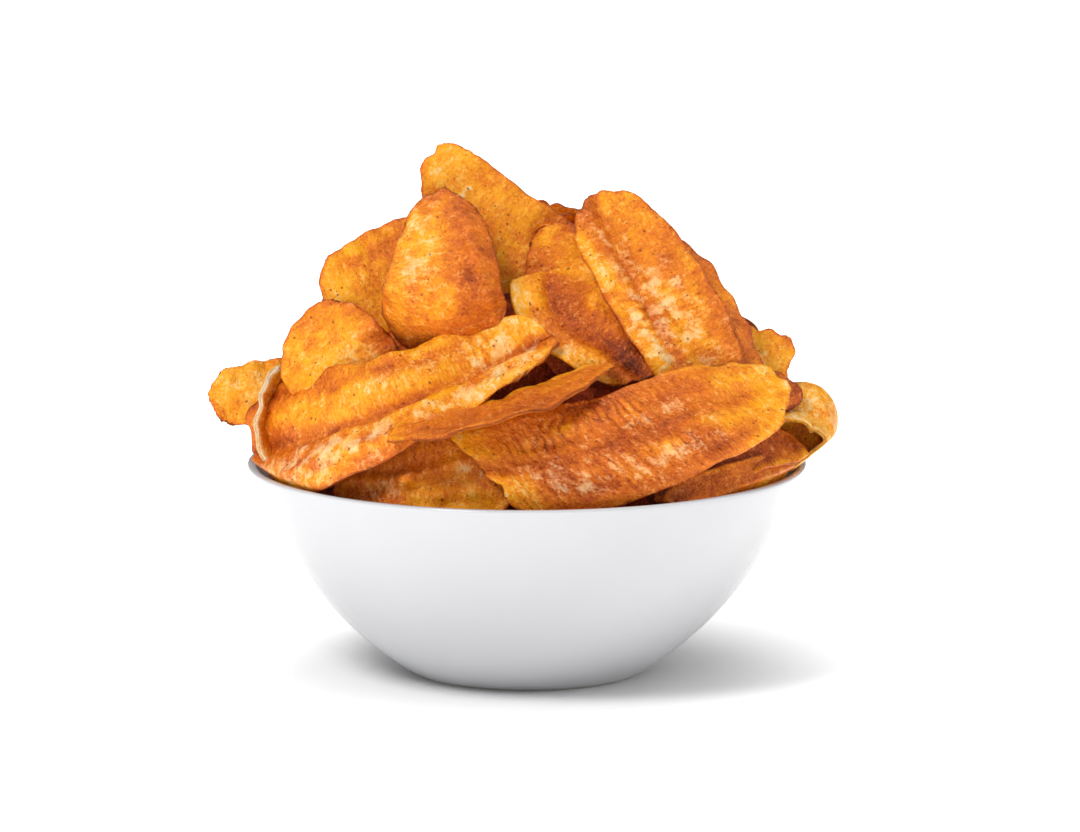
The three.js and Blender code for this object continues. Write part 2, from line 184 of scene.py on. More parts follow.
def glazeMaterial(look):
    material, tree, shader = newMaterial("glazedStoneware")
    place = add(tree, "ShaderNodeTexCoord", out="Object")
    wave = add(tree, "ShaderNodeTexNoise", {"Vector": place, "Scale": 1000 / look["waveSize"], "Detail": 2.0})
    cloud = add(tree, "ShaderNodeTexNoise", {
        "Vector": place, "Scale": 1000 / look["cloudSize"], "Detail": 3.0})
    cells = add(tree, "ShaderNodeTexVoronoi", {"Vector": place, "Scale": 1000 / look["pinholeSpacing"]})
    edge = look["pinholeRadius"] / look["pinholeSpacing"]
    holes = add(tree, "ShaderNodeMapRange", {"Value": cells, "From Min": edge * 0.5, "From Max": edge})
    height = add(tree, "ShaderNodeSeparateXYZ", {"Vector": place}, out="Z")
    dry, glazed = look["bareBelow"]
    bare = add(tree, "ShaderNodeMapRange", {
        "Value": height, "From Min": dry * mm, "From Max": glazed * mm, "To Min": 1.0, "To Max": 0.0})
    tint = add(tree, "ShaderNodeMapRange", {
        "Value": cloud, "From Min": 0.3, "From Max": 0.7, "To Min": 0.97, "To Max": 1.0})
    base = add(tree, "ShaderNodeMixRGB", {0: bare, 1: colour(look["glaze"]), 2: colour(look["bare"])})
    base = add(tree, "ShaderNodeHueSaturation", {"Color": base, "Value": tint})
    tree.links.new(base, shader.inputs["Base Color"])
    rough = add(tree, "ShaderNodeMapRange", {
        "Value": bare, "To Min": look["roughness"], "To Max": look["bareRoughness"]})
    tree.links.new(rough, shader.inputs["Roughness"])
    bump = add(tree, "ShaderNodeBump", {"Height": wave, "Distance": look["waveDepth"] * mm})
    bump = add(tree, "ShaderNodeBump", {
        "Height": holes, "Distance": look["pinholeDepth"] * mm, "Normal": bump})
    tree.links.new(bump, shader.inputs["Normal"])
    shader.inputs["IOR"].default_value = 1.5
    return material


# the four ways in which the slices came out of the oil; the darkest, brown, is also painted shade, as only
# the pieces in the gaps and inside the heap wear it
crisps = {
    "golden": friedMaterial("friedBananaGolden", through=0.12, goldShare=0.75, dustShare=0.26),
    "orange": friedMaterial("friedBananaOrange"),
    "pale": friedMaterial("friedBananaPale", through=0.15, goldShare=0.2, dustShare=0.2),
    # darker frying, and painted shade of the pieces in the gaps and inside the heap
    "brownAndShade": friedMaterial(
        "friedBananaBrownAndShade", through=0.03, goldShare=0.0, dustShare=0.3, dust="#8A1E06",
        browning=[(0.0, "#320902"), (0.2, "#701E05"), (0.35, "#963006"),
                  (0.5, "#B8480A"), (0.7, "#DC7410"), (1.0, "#F4AE44")]),
}
print("materials made")


# a closed body from rings of points in mm, with a point to close each end
def ringMesh(name, rings, ends):
    rows, columns = rings.shape[:2]
    count = rows * columns
    cells = np.arange(count).reshape(rows, columns)
    onward = np.roll(cells, -1, axis=1)
    faces = np.stack([cells[:-1], onward[:-1], onward[1:], cells[1:]], -1).reshape(-1, 4).tolist()
    faces += [[onward[0, k], cells[0, k], count] for k in range(columns)]
    faces += [[cells[-1, k], onward[-1, k], count + 1] for k in range(columns)]
    mesh = bpy.data.meshes.new(name)
    mesh.from_pydata((np.vstack([rings.reshape(-1, 3), ends]) * mm).tolist(), [], faces)
    return mesh


# puts a finished mesh in the place of a node
def settle(mesh, material, node):
    mesh.polygons.foreach_set("use_smooth", np.ones(len(mesh.polygons), bool))
    mesh.materials.append(material)
    mesh.validate()
    mesh.update()
    piece = bpy.data.objects.new(mesh.name, mesh)
    bpy.context.scene.collection.objects.link(piece)
    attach(piece, "root")
    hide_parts(node)


# what the shader of the fried slices reads: browning, bare starch with painted highlight, and the place on
# the slice in mm
def paint(mesh, tones, starchesAndHighlights, places):
    for key, values in (("browning", tones), ("starchAndHighlight", starchesAndHighlights)):
        mark = mesh.attributes.new(key, "FLOAT", "POINT")
        mark.data.foreach_set("value", np.asarray(values, np.float32))
    cut = mesh.attributes.new("cut", "FLOAT_VECTOR", "POINT")
    cut.data.foreach_set("vector", np.asarray(places, np.float32).ravel())


# The bowl is turned with the section of its solid, only rounder.
bowlSize = {
    "rimHeight": 68.0, "lip": (88.9, 88.1),          # mm; the lip is flat between these radii
    "wallArc": 127.0, "wallCentre": (-30.8, 107.0),  # the arc of the outer wall, centre as (r, z)
    "wall": 2.8, "floor": 3.4, "base": 35.0,         # base is the radius of the foot
    "heel": 7.4,                                     # height where the wall bends into the floor
    "sides": 180,
}


# radius of the wall at a height, so far inside its outer face
def wallRadius(z, inset):
    r, h = bowlSize["wallCentre"]
    return r + np.sqrt((bowlSize["wallArc"] - inset) ** 2 - (z - h) ** 2)


# from the middle of the foot up the outside, over the lip and down the inside
def bowlSection(look):
    rim, base, floor, wall = look["rimHeight"], look["base"], look["floor"], look["wall"]
    outerLip, innerLip = look["lip"]
    section = [(14, 0), (28, 0), (base - 0.6, 0), (base, 0.02), (base + 2.6, 0.3), (base + 4.4, 1.2)]
    section += [(wallRadius(z, 0), z) for z in np.r_[2.6, 5, np.linspace(8, rim - 2, 24)]]
    section += [(wallRadius(rim - 0.8, 0), rim - 0.8), (wallRadius(rim - 0.2, 0) - 0.4, rim - 0.2),
                (outerLip, rim), (innerLip, rim),
                (wallRadius(rim - 0.3, wall) + 0.3, rim - 0.3), (wallRadius(rim - 1, wall), rim - 1)]
    section += [(wallRadius(z, wall), z) for z in np.linspace(rim - 3, look["heel"], 24)]
    inner = wallRadius(look["heel"], wall)
    section += [(inner - 4, 5), (inner - 9, floor + 0.2), (inner - 16, floor), (8, floor)]
    r, z = np.array(section, float).T
    turn = np.linspace(0, math.tau, look["sides"], endpoint=False)
    level = np.ones_like(turn)
    return np.stack([np.outer(r, np.cos(turn)), np.outer(r, np.sin(turn)), np.outer(z, level)], -1)


bowlMesh = ringMesh("turnedBowl", bowlSection(bowlSize), [(0, 0, 0), (0, 0, bowlSize["floor"])])
settle(bowlMesh, glazeMaterial(whiteGlaze), "bowl")
print("bowl turned")


glazeGap = 0.6        # mm between the heap and the glaze


# keeps points of the heap off the glaze; over the rim they may lean out
def offTheBowl(points, gap=glazeGap, lean=1.2):
    rim = bowlSize["rimHeight"]
    room = wallRadius(np.clip(points[..., 2], 0, rim), bowlSize["wall"]) - gap
    room += lean * np.maximum(points[..., 2] - rim, 0)
    reach = np.hypot(points[..., 0], points[..., 1])
    scale = np.minimum(room / np.maximum(reach, 1e-6), 1.0)
    kept = points.copy()
    kept[..., 0] *= scale
    kept[..., 1] *= scale
    kept[..., 2] = np.maximum(kept[..., 2], bowlSize["floor"] + gap)
    return kept


# a number from 0 to 1 that follows from the seed and k
def chance(seed, k):
    x = math.sin(seed * 12.9898 + k * 78.233) * 43758.5453
    return x - math.floor(x)


# smooth noise from -1 to 1 over a surface in mm
def patches(x, y, size, seed):
    gx, gy = x / size + 31.7 * chance(seed, 21), y / size + 17.3 * chance(seed, 22)
    i, j = np.floor(gx), np.floor(gy)
    f, g = gx - i, gy - j
    f, g = f * f * (3 - 2 * f), g * g * (3 - 2 * g)

    def corner(a, b):
        v = np.sin(a * 127.1 + b * 311.7 + seed * 7.31) * 43758.5453
        return v - np.floor(v)

    low = corner(i, j) * (1 - f) + corner(i + 1, j) * f
    high = corner(i, j + 1) * (1 - f) + corner(i + 1, j + 1) * f
    return 2 * (low * (1 - g) + high * g) - 1


# fine streaks along a slice
def streaksAt(x, y, seed):
    return patches(x / 3.5, y, 3.4, seed + 11)


def unit(v):
    return v / np.maximum(np.linalg.norm(v, axis=-1, keepdims=True), 1e-12)


# rises smoothly from 0 at low to 1 at high
def step(x, low, high):
    t = np.clip((x - low) / (high - low), 0, 1)
    return t * t * (3 - 2 * t)


# a smooth curve through the given points, with the distance along it
def pathOf(given, perSpan=120):
    p = np.array(given, float)
    p = np.vstack([2 * p[0] - p[1], p, 2 * p[-1] - p[-2]])
    t = np.linspace(0, 1, perSpan, endpoint=False)[:, None]
    spans = []
    for a, b, c, d in zip(p, p[1:], p[2:], p[3:]):
        bend, twist = 2 * a - 5 * b + 4 * c - d, 3 * b - a - 3 * c + d
        spans.append(0.5 * (2 * b + (c - a) * t + bend * t ** 2 + twist * t ** 3))
    curve = np.vstack(spans + [p[-2:-1]])
    return curve, np.r_[0, np.cumsum(np.linalg.norm(np.diff(curve, axis=0), axis=1))]


# What a slice starts from. path runs from end to end, in mm. On the slice itself, places are
# (along, across), each from -1 to 1.
plainSlice = {
    "face": (0, -1, 0.5),                 # where the broad side is turned; a list turns it on the way
    "width": 34, "cup": -20,              # mm, and how far it is bowed across, in degrees
    "tips": (2.8, 2.8),                   # how square each end is; 2 is round
    "taper": 0, "slant": 0,               # widens the far end, and cuts the ends askew
    "groove": 0, "lobes": 0,              # mm of the seam of the seeds and of the swelling beside it
    "ruffle": 1.1, "waves": 2.5,          # mm that the edges buckled in the oil, and how often
    "lump": 0.8, "rough": 1.2,            # mm of slow bends; strength of the small ones
    "uneven": 0.022,                      # how far the outline wanders
    "ribs": 0.0, "ribSpan": (-1, 1),      # mm of ribs across the pulp, and where they begin and end
    "border": 0.0, "streaks": 0.25,       # mm that the pulp lies lower, and mm of streaks along it
    "tuck": (0, 0),                       # mm that each end bends away
    "folds": (),                          # creases: place, place, mm of height and of breadth
    "seed": 1,
    "tone": (0.55, 0.55),                 # browning from end to end, 0 dark to 1 cream
    "side": (0, 0),                       # added to it from edge to edge
    "seam": 0.0,                          # how much browner the seam is
    "rim": -0.05, "cutEdge": -0.22,       # added near the edge, and on the thin cut edge itself
    "spots": (),                          # place, length, breadth, change; paler ones are bare starch and painted highlight
    "finish": "orange",
}
sliceThickness = 1.4                      # mm
ribSpacing = 3.4                          # mm
gridStep = {"front": 0.9, "rest": 1.2, "deep": 2.0}       # mm


# how far out the edge of a slice lies, at an angle round it
def outlineAt(look, angle, phase):
    seed = look["seed"]
    power = look["tips"][0] + (look["tips"][1] - look["tips"][0]) * (1 + np.cos(angle)) / 2
    square = (np.abs(np.cos(angle)) ** power + np.abs(np.sin(angle)) ** power) ** (-1 / power)
    edge = 1 + look["uneven"] * (np.sin(3 * angle + phase[1]) + 0.7 * np.sin(5 * angle + phase[2])
                                 + 0.5 * np.sin(9 * angle + phase[3]) + 0.35 * np.sin(17 * angle + phase[4]))
    nicks = patches(angle * 7, 3, 1.0, seed) + 0.8 * patches(angle * 19, 0, 1.0, seed + 1)
    edge += look["rough"] * 0.009 * nicks
    return square * edge


# how far the face of a slice stands off its path in mm, and the place and strength of its ribs
def reliefAt(look, length, bow, phase, fromEdge, q, a, b, x, y):
    width, seed = look["width"], look["seed"]
    lift = bow * (1 - np.cos(y / bow))
    lift -= look["groove"] * np.exp(-(b / 0.16) ** 2) * (1 - np.minimum(np.abs(a), 1) ** 6)
    lift += look["lobes"] * (np.sin(math.pi * np.abs(b)) - 0.5)
    first, last = look["tuck"]
    lift -= first * np.clip((-a - 0.5) / 0.5, 0, 1.2) ** 2 + last * np.clip((a - 0.5) / 0.5, 0, 1.2) ** 2
    lift += look["streaks"] * streaksAt(x, y, seed)
    for a0, b0, a1, b1, height, breadth in look["folds"]:
        x0, y0 = a0 * length / 2, b0 * width / 2
        dx, dy = (a1 - a0) * length / 2, (b1 - b0) * width / 2
        part = np.clip(((x - x0) * dx + (y - y0) * dy) / (dx * dx + dy * dy), 0, 1)
        off = np.hypot(x - x0 - part * dx, y - y0 - part * dy) + 0.8 * patches(x, y, 5.0, seed + 12)
        lift += height * np.clip(1 - np.abs(off) / breadth, 0, 1) ** 1.6
    shift = np.where(q < 0, 1.7, 0) * phase[6]        # so that the two edges do not buckle alike
    lift += look["ruffle"] * np.abs(q) ** 2.2 * np.sin(math.tau * look["waves"] * a + phase[5] + shift)
    slow = np.sin(0.21 * x + 0.13 * y + phase[7]) + np.sin(0.13 * x - 0.24 * y + phase[8])
    lift += look["lump"] / 2 * slow
    lift += look["rough"] * (0.36 * patches(x, y, 7.0, seed) + 0.2 * patches(x, y, 2.8, seed + 2))
    pulp = step(fromEdge, 2.5, 5.0)
    lift -= look["border"] * pulp
    lean = x + 2.6 * patches(x, y, 5.0, seed + 3) + 0.12 * y
    start, end = look["ribSpan"]
    ribbed = pulp * step(np.abs(b), 0.05, 0.3) * step(a, start - 0.1, start + 0.1)
    ribbed = ribbed * (1 - step(a, end - 0.3, end + 0.1))
    ribbed = ribbed * (0.6 + 0.6 * patches(x, y, 6.0, seed + 4))
    lift += look["ribs"] * ribbed * np.sin(lean * math.tau / ribSpacing)
    return lift, lean, ribbed


# the middle of a slice's thickness, as a function of (s, t) from -1 to 1
def sliceSurface(look):
    curve, stations = pathOf(look["path"])
    length, width = stations[-1], look["width"]
    bow = width / (math.radians(look["cup"]) or 1e-3)          # radius in mm; 0 degrees is all but flat
    phase = [math.tau * chance(look["seed"], k) for k in range(9)]
    faces = np.atleast_2d(np.array(look["face"], float))
    marks = np.linspace(0, length, max(len(faces), 2))
    faces = faces if len(faces) > 1 else np.vstack([faces, faces])

    def onPath(distance):
        return np.stack([np.interp(distance, stations, curve[:, k]) for k in range(3)], -1)

    def surface(s, t):
        p, q = s * np.sqrt(1 - t * t / 2), t * np.sqrt(1 - s * s / 2)
        r, angle = np.hypot(p, q), np.arctan2(q, p)
        spread = 1 + (outlineAt(look, angle, phase) - 1) * r * r
        a, b = p * spread, q * spread
        b = b * (1 + look["taper"] * a)
        x, y = a * length / 2, b * width / 2
        distance = (a + 1) / 2 * length + look["slant"] * y
        on = np.clip(distance, 0, length)
        near = np.clip(distance, length * 0.01, length * 0.99)
        along = unit(onPath(near + length * 0.01) - onPath(near - length * 0.01))
        place = onPath(on) + along * (distance - on)[..., None]
        out = np.stack([np.interp(on, marks, faces[:, k]) for k in range(3)], -1)
        out = unit(out - (out * along).sum(-1, keepdims=True) * along)
        across = np.cross(along, out)
        slope = np.sqrt((width / 2 * np.cos(angle)) ** 2 + (length / 2 * np.sin(angle)) ** 2 + 1e-9)
        fromEdge = (1 - r) * length * width / 4 / slope        # mm
        lift, lean, ribbed = reliefAt(look, length, bow, phase, fromEdge, q, a, b, x, y)
        place = place + across * (bow * np.sin(y / bow))[..., None] + out * lift[..., None]
        return place, {"a": a, "b": b, "x": x, "y": y, "edge": fromEdge, "lean": lean, "ribbed": ribbed}

    return surface, length


# how pale each point is fried, and how much bare starch and painted highlight it shows
def browning(look, at):
    seed = look["seed"]
    a, b, x, y = at["a"], at["b"], at["x"], at["y"]
    wobble = 0.12 * patches(x, y, 8.0, seed + 5)
    tone = np.interp(a + wobble, np.linspace(-1, 1, len(look["tone"])), look["tone"])
    tone = tone + np.interp(b + wobble, np.linspace(-1, 1, len(look["side"])), look["side"])
    tone += 0.085 * patches(x, y, 11.0, seed + 6) + 0.06 * patches(x, y, 4.5, seed + 7)
    nearSeam = np.exp(-((b + 0.5 * wobble) / 0.1) ** 2)
    tone -= look["seam"] * nearSeam * (0.75 + 0.5 * patches(x, y, 6.0, seed + 8))
    tone += 0.22 * look["streaks"] * streaksAt(x, y, seed)
    nearRim, nearCut = (np.exp(-(at["edge"] / reach) ** 2) for reach in (1.6, 0.45))      # mm
    tone += look["rim"] * nearRim + look["cutEdge"] * nearCut
    tone += look["ribs"] * 0.3 * at["ribbed"] * np.sin(at["lean"] * math.tau / ribSpacing)
    starchAndHighlight = 0.05 * patches(x, y, 6.0, seed + 14) - 0.03
    # the paler spots add bare starch and painted highlight
    for along, across, long, broad, change in look["spots"]:
        away = ((a - along) / long) ** 2 + ((b - across) / broad) ** 2
        away = away * (1 + 0.5 * patches(x, y, 5.0, seed + 9)) + 0.25 * patches(x, y, 3.0, seed + 10)
        mark = np.exp(-np.maximum(away, 0)) * (0.6 + 0.8 * patches(x, y, 2.6, seed + 13))
        tone += (0.3 if change > 0 else 1) * change * mark
        starchAndHighlight += max(change, 0) * 2.6 * mark
    return tone, starchAndHighlight


# both faces of a slice and the wall between them, as points, quads and what the shader reads
def sliceMesh(look, grid, inset=1.4):
    surface, length = sliceSurface(look)

    # even steps between the insets, in mm, and closer ones at the edge
    def lines(size):
        close = [d for d in (0, 0.3, 0.8) if d < size / 6]
        count = max(4, round((size - 2 * inset) / grid))
        middle = np.linspace(-1 + 2 * inset / size, 1 - 2 * inset / size, count + 1)
        ends = np.array([-1 + 2 * d / size for d in close])
        return np.r_[ends, middle, -ends[::-1]]

    s, t = np.meshgrid(lines(length), lines(look["width"]), indexing="ij")
    place, at = surface(s, t)
    # the slope is measured between points a little apart, and a little inside the ragged edge
    h = 0.015
    back, front = np.maximum(s - h, -1), np.minimum(s + h, 1)
    left, right = np.maximum(t - 2 * h, -1), np.minimum(t + 2 * h, 1)
    along = surface(front, t * 0.985)[0] - surface(back, t * 0.985)[0]
    across = surface(s * 0.985, right)[0] - surface(s * 0.985, left)[0]
    normal = unit(np.cross(along, across))
    # the cut edge is rounded over its last 0.8 mm
    close = np.minimum(at["edge"] / 0.8, 1)
    half = (sliceThickness / 2 * np.sqrt(1 - 0.72 * (1 - close) ** 2))[..., None]
    place = offTheBowl(place, glazeGap + sliceThickness / 2)
    rows, columns = s.shape
    points = np.concatenate([(place + normal * half).reshape(-1, 3), (place - normal * half).reshape(-1, 3)])
    cells = np.arange(rows * columns).reshape(rows, columns)
    top = np.stack([cells[:-1, :-1], cells[1:, :-1], cells[1:, 1:], cells[:-1, 1:]], -1).reshape(-1, 4)
    below = top[:, ::-1] + rows * columns
    loop = np.r_[cells[:-1, 0], cells[-1, :-1], cells[:0:-1, -1], cells[0, :0:-1]]
    ahead = np.roll(loop, -1)
    wall = np.stack([ahead, loop, loop + rows * columns, ahead + rows * columns], -1)
    tone, starchAndHighlight = (values.reshape(-1) for values in browning(look, at))
    # each slice and each face is cut from its own place in the pattern
    cut = np.stack([at["x"] + 40 * look["seed"], at["y"], np.zeros_like(at["x"])], -1).reshape(-1, 3)
    return {"points": points, "quads": np.vstack([top, below, wall]),
            "browning": np.r_[tone, tone - 0.03], "starchAndHighlight": np.r_[starchAndHighlight, starchAndHighlight * 0.6],
            "cut": np.vstack([cut, cut + [0, 0, 9.0]])}


# one object of the heap from one slice or more
def makePiece(name, parts, material):
    bases = np.cumsum([0] + [len(part["points"]) for part in parts])
    points = np.vstack([part["points"] for part in parts])
    quads = np.vstack([part["quads"] + base for part, base in zip(parts, bases)])
    mesh = bpy.data.meshes.new(name)
    mesh.from_pydata((points * mm).tolist(), [], quads.tolist())
    paint(mesh, *(np.concatenate([part[key] for part in parts]) for key in ("browning", "starchAndHighlight", "cut")))
    settle(mesh, material, "banana_chips")


# The slices as they lie, in mm: x to the right, y away from the camera and z up.
frontSlices = {
    "frontLong": {
        "path": [(-14, -71, 77), (24, -70, 84), (54, -60, 94), (80, -42, 101)], "face": (0.12, -1, 0.45),
        "width": 35, "cup": -35, "tips": (5, 2.6), "taper": -0.12, "slant": 0.5, "groove": 0.8,
        "lobes": 1.4, "ruffle": 0.7, "ribs": 0.35, "ribSpan": (-0.85, 0.35), "border": 0.9, "streaks": 0.5,
        "seed": 3,
        "folds": [(-0.8, 0.05, 0.5, 0.0, 1.3, 2.4), (-0.8, 0.3, 0.4, 0.22, -1.0, 2.2),
                  (-0.7, -0.28, 0.5, -0.22, -1.0, 2.2), (0.5, 0.0, 0.8, 0.1, 0.6, 3)],
        "tone": (0.66, 0.46, 0.38, 0.42, 0.64, 0.68), "seam": 0.1, "rim": 0.12,
        "spots": [(-0.45, 0.25, 0.35, 0.22, 0.3), (0.0, 0.5, 0.3, 0.25, 0.36), (0.1, -0.3, 0.3, 0.16, 0.32),
                  (-0.5, -0.5, 0.3, 0.2, 0.16), (0.45, 0.2, 0.14, 0.18, 0.18), (0.3, 0.5, 0.2, 0.2, -0.12),
                  (-0.6, 0.6, 0.3, 0.2, 0.28), (-0.4, -0.05, 0.4, 0.1, -0.1)],
    },
    "rightTall": {
        "path": [(22, -19, 156), (39, -33, 131), (61, -45, 98)], "face": (0.3, -1, 0.4),
        "width": 33, "cup": 18, "tips": (2.8, 3), "groove": 1, "lobes": 1.2, "ribs": 0.25,
        "ribSpan": (-0.1, 1), "border": 0.4, "seed": 5,
        "folds": [(-0.95, 0.1, 0.1, 0.35, -1.7, 3), (0.1, 0.35, 0.8, 0.6, -1.7, 3),
                  (-0.9, 0.42, 0.1, 0.64, 1.3, 4), (0.1, 0.64, 0.8, 0.88, 1.3, 4),
                  (0.15, 0.15, 0.08, -0.4, 0.9, 2.2), (0.38, 0.25, 0.3, -0.4, 0.9, 2.2),
                  (0.6, 0.3, 0.52, -0.3, 0.8, 2.2), (0.1, -0.55, 0.9, -0.6, 0.8, 3.5)],
        # the dip in side, a third of the way towards its left edge, darkens its trough: painted shade
        "tone": (0.62, 0.54, 0.52, 0.54), "side": (0.08, 0.04, 0.06, 0.04, -0.14, 0.1, 0.16), "seam": 0.03,
        "spots": [(0.35, 0.05, 0.65, 0.6, 0.42), (-0.35, 0.6, 0.5, 0.25, 0.36), (0.5, 0.7, 0.4, 0.2, 0.34),
                  (-0.1, -0.1, 0.2, 0.3, 0.2), (-0.5, -0.3, 0.3, 0.4, -0.06), (0.0, -0.45, 0.2, 0.2, -0.1)],
    },
    "behindRight": {
        "path": [(36, -18, 143), (52, -31, 123), (68, -41, 97)], "face": (0.5, -1, 0.4),
        "width": 31, "cup": -30, "seed": 7, "tone": (0.47, 0.52), "finish": "golden",
    },
    "centreDark": {
        "path": [(8, -22.5, 133), (13, -34, 121), (39, -47, 103)], "face": (0.1, -1, 0.45),
        "width": 27, "cup": 30, "tips": (5, 2.2), "taper": -0.2, "streaks": 0.7, "seed": 9,
        "folds": [(-0.9, 0.6, 0.9, 0.4, 1.5, 3), (-0.8, 0.25, 0.8, 0.15, -1.3, 3),
                  (-0.2, -0.5, 0.7, -0.2, 0.9, 4)],
        # darker towards its lower right end: painted shade
        "tone": (0.6, 0.46, 0.4), "side": (0.02, -0.04, -0.18, 0.06, 0.24), "rim": 0.1,
        "spots": [(-0.2, -0.2, 0.3, 0.4, -0.1), (-0.3, 0.75, 0.5, 0.2, 0.3), (0.4, 0.7, 0.4, 0.2, 0.26)],
    },
    "darkBehind": {
        "path": [(9, -18, 147), (11, -23, 131), (14, -32, 113)], "face": (0, -1, 0.3),
        "width": 22, "cup": -30, "seed": 11, "tone": (0.62, 0.54, 0.4),
    },
    "topBack": {
        "path": [(-31, -14, 170), (-11, -16, 147), (21, -18, 122)], "face": (0.1, -1, 0.3),
        "width": 32, "cup": -20, "tips": (2.4, 3), "taper": 0.24, "seed": 13,
        "tone": (0.8, 0.72, 0.6, 0.54), "side": (-0.1, 0, 0.04), "rim": -0.06,
        "spots": [(0.1, 0.1, 0.3, 0.4, -0.08), (0.5, 0.3, 0.3, 0.3, -0.1), (-0.6, 0.0, 0.3, 0.4, 0.1)],
    },
    "upperFold": {
        "path": [(-29, -37, 106), (-27, -46, 133), (-26, -25, 159)], "face": (-0.1, -1, 0.35),
        "width": 40, "cup": -90, "tips": (4, 2), "taper": -0.26, "tuck": (6, 0), "seed": 15,
        "folds": [(0.8, 0.3, 0.2, 0.55, 2.2, 6), (0.2, 0.55, -0.5, 0.95, 2.0, 6)],
        # its right side, the darker spots there and its tucked-under lower end are painted shade of facets
        # turned from the light; the pale spots on its left are bare starch and painted highlight
        "tone": (0.38, 0.54, 0.6, 0.62, 0.5), "side": (0.04, 0.06, 0.02, -0.12, -0.05), "rim": -0.16,
        "spots": [(0.5, -0.4, 0.4, 0.3, 0.34), (0.0, -0.4, 0.25, 0.25, 0.26), (-0.3, 0.1, 0.3, 0.2, 0.14),
                  (0.3, 0.75, 0.3, 0.12, -0.2), (-0.1, 0.45, 0.25, 0.2, -0.15)], "finish": "golden",
    },
    "upperLeft": {
        "path": [(-64, -19, 122), (-48, -18, 128), (-26, -14, 142)], "face": (-0.1, -1, 0.3),
        "width": 32, "tips": (3.2, 3), "seed": 17, "tone": (0.66, 0.63, 0.54), "rim": -0.06,
        "finish": "golden",
    },
    "midLeft": {
        "path": [(-73, -24, 116), (-62, -32, 107), (-48, -37, 89)], "face": (-0.3, -1, 0.35),
        "width": 37, "cup": -40, "seed": 19, "tone": (0.62, 0.66, 0.5), "side": (-0.2, 0.02, 0.04, 0.02),
        "spots": [(0.1, -0.4, 0.35, 0.3, 0.34), (-0.4, 0.3, 0.3, 0.3, 0.16)], "finish": "golden",
    },
    "farLeft": {
        "path": [(-101, -10, 90), (-84, -8, 91), (-58, -6, 92)], "face": (0, -0.8, 0.6),
        "width": 24, "cup": -10, "rough": 2.6, "seed": 21, "tone": (0.76, 0.74, 0.68), "finish": "golden",
    },
    "leftCurl": {
        "path": [(-76, -20, 102), (-80, -22, 94), (-82, -24, 85), (-81, -25, 77), (-74, -24, 71)],
        "face": (1, -0.4, 0.2),
        "width": 18, "cup": 0, "ruffle": 0.6, "seed": 23, "tone": (0.74, 0.6, 0.55), "rim": 0.5,
        "spots": [(-0.2, 0.0, 0.9, 0.9, 0.2)], "finish": "pale",
    },
    "leftLong": {
        "path": [(-89, -24.5, 74.5), (-47, -54, 93.5), (7, -43, 116)],
        "face": [(-0.5, -0.8, 0.4), (-0.2, -0.7, 0.7), (-0.2, -0.7, 0.7)],
        "width": 38, "cup": 20, "tips": (3.6, 3), "taper": -0.3, "groove": 1, "lobes": 2.6, "ribs": 0.3,
        "ribSpan": (0.5, 1), "border": 0.3, "streaks": 0.6, "seed": 25,
        "folds": [(-0.9, 0.14, 0.9, 0.1, -1.4, 2.6), (-0.7, 0.62, 0.3, 0.7, 1.2, 3),
                  (-0.5, 0.3, 0.1, 0.36, -0.8, 2)],
        "tone": (0.5, 0.52, 0.56, 0.62, 0.6), "side": (-0.1, 0.06, 0.08, 0.0, 0.04), "seam": 0.26,
        "rim": 0.06,
        "spots": [(-0.35, 0.6, 0.55, 0.35, 0.6), (0.75, 0, 0.2, 0.5, 0.4), (0.15, -0.4, 0.5, 0.2, 0.24),
                  (0.35, 0.5, 0.35, 0.25, 0.36), (-0.6, 0.2, 0.3, 0.15, -0.12)],
    },
    "crescent": {
        "path": [(-43, -68, 88), (-7, -70, 96), (25, -50, 107)],
        "face": [(-0.2, -0.3, 1), (-0.2, -0.1, 1), (-0.2, -0.15, 1)],
        "width": 22, "cup": 10, "ruffle": 0.5, "seed": 27,
        "tone": (0.5, 0.44, 0.58), "side": (0.1, 0, -0.1), "rim": 0.2,
    },
    "bottomLeft": {
        "path": [(-61, -49.5, 71), (-34, -61, 76), (-4, -66, 76)], "face": (-0.1, -1, 0.35),
        "width": 34, "tips": (3, 3.4), "ribs": 0.15, "seed": 29,
        "folds": [(-0.8, 0.1, -0.1, 0.2, 2.2, 4), (-0.1, 0.2, 0.6, -0.2, 2.2, 4),
                  (0.2, 0.5, 0.8, 0.3, 1.6, 4)],
        # darker along its upper edge and left of the middle: painted shadow of the slices lying over it
        "tone": (0.58, 0.48, 0.6, 0.62), "side": (-0.2, -0.04, 0.1),
        "spots": [(-0.5, 0.3, 0.4, 0.3, 0.36), (0.5, 0.1, 0.25, 0.35, 0.3), (0.0, 0.0, 0.25, 0.2, -0.12)],
    },
    "underFront": {
        "path": [(-20, -62, 66), (4, -64, 64), (40, -62, 66)], "face": (0, -1, 0.4),
        # a dark brown sheet under frontLong: painted shade under the front slice
        "width": 26, "cup": 0, "seed": 45, "tone": (0.2, 0.25), "finish": "brownAndShade",
    },
    "innerRed": {
        "path": [(-10, -34, 100), (8, -36.5, 101), (34, -40, 97)], "face": (0, -1, 0.3),
        # its dark red-brown is painted shade of the gap behind the front slices
        "width": 28, "cup": 0, "seed": 43, "tone": (0.46, 0.5), "finish": "brownAndShade",
    },
}
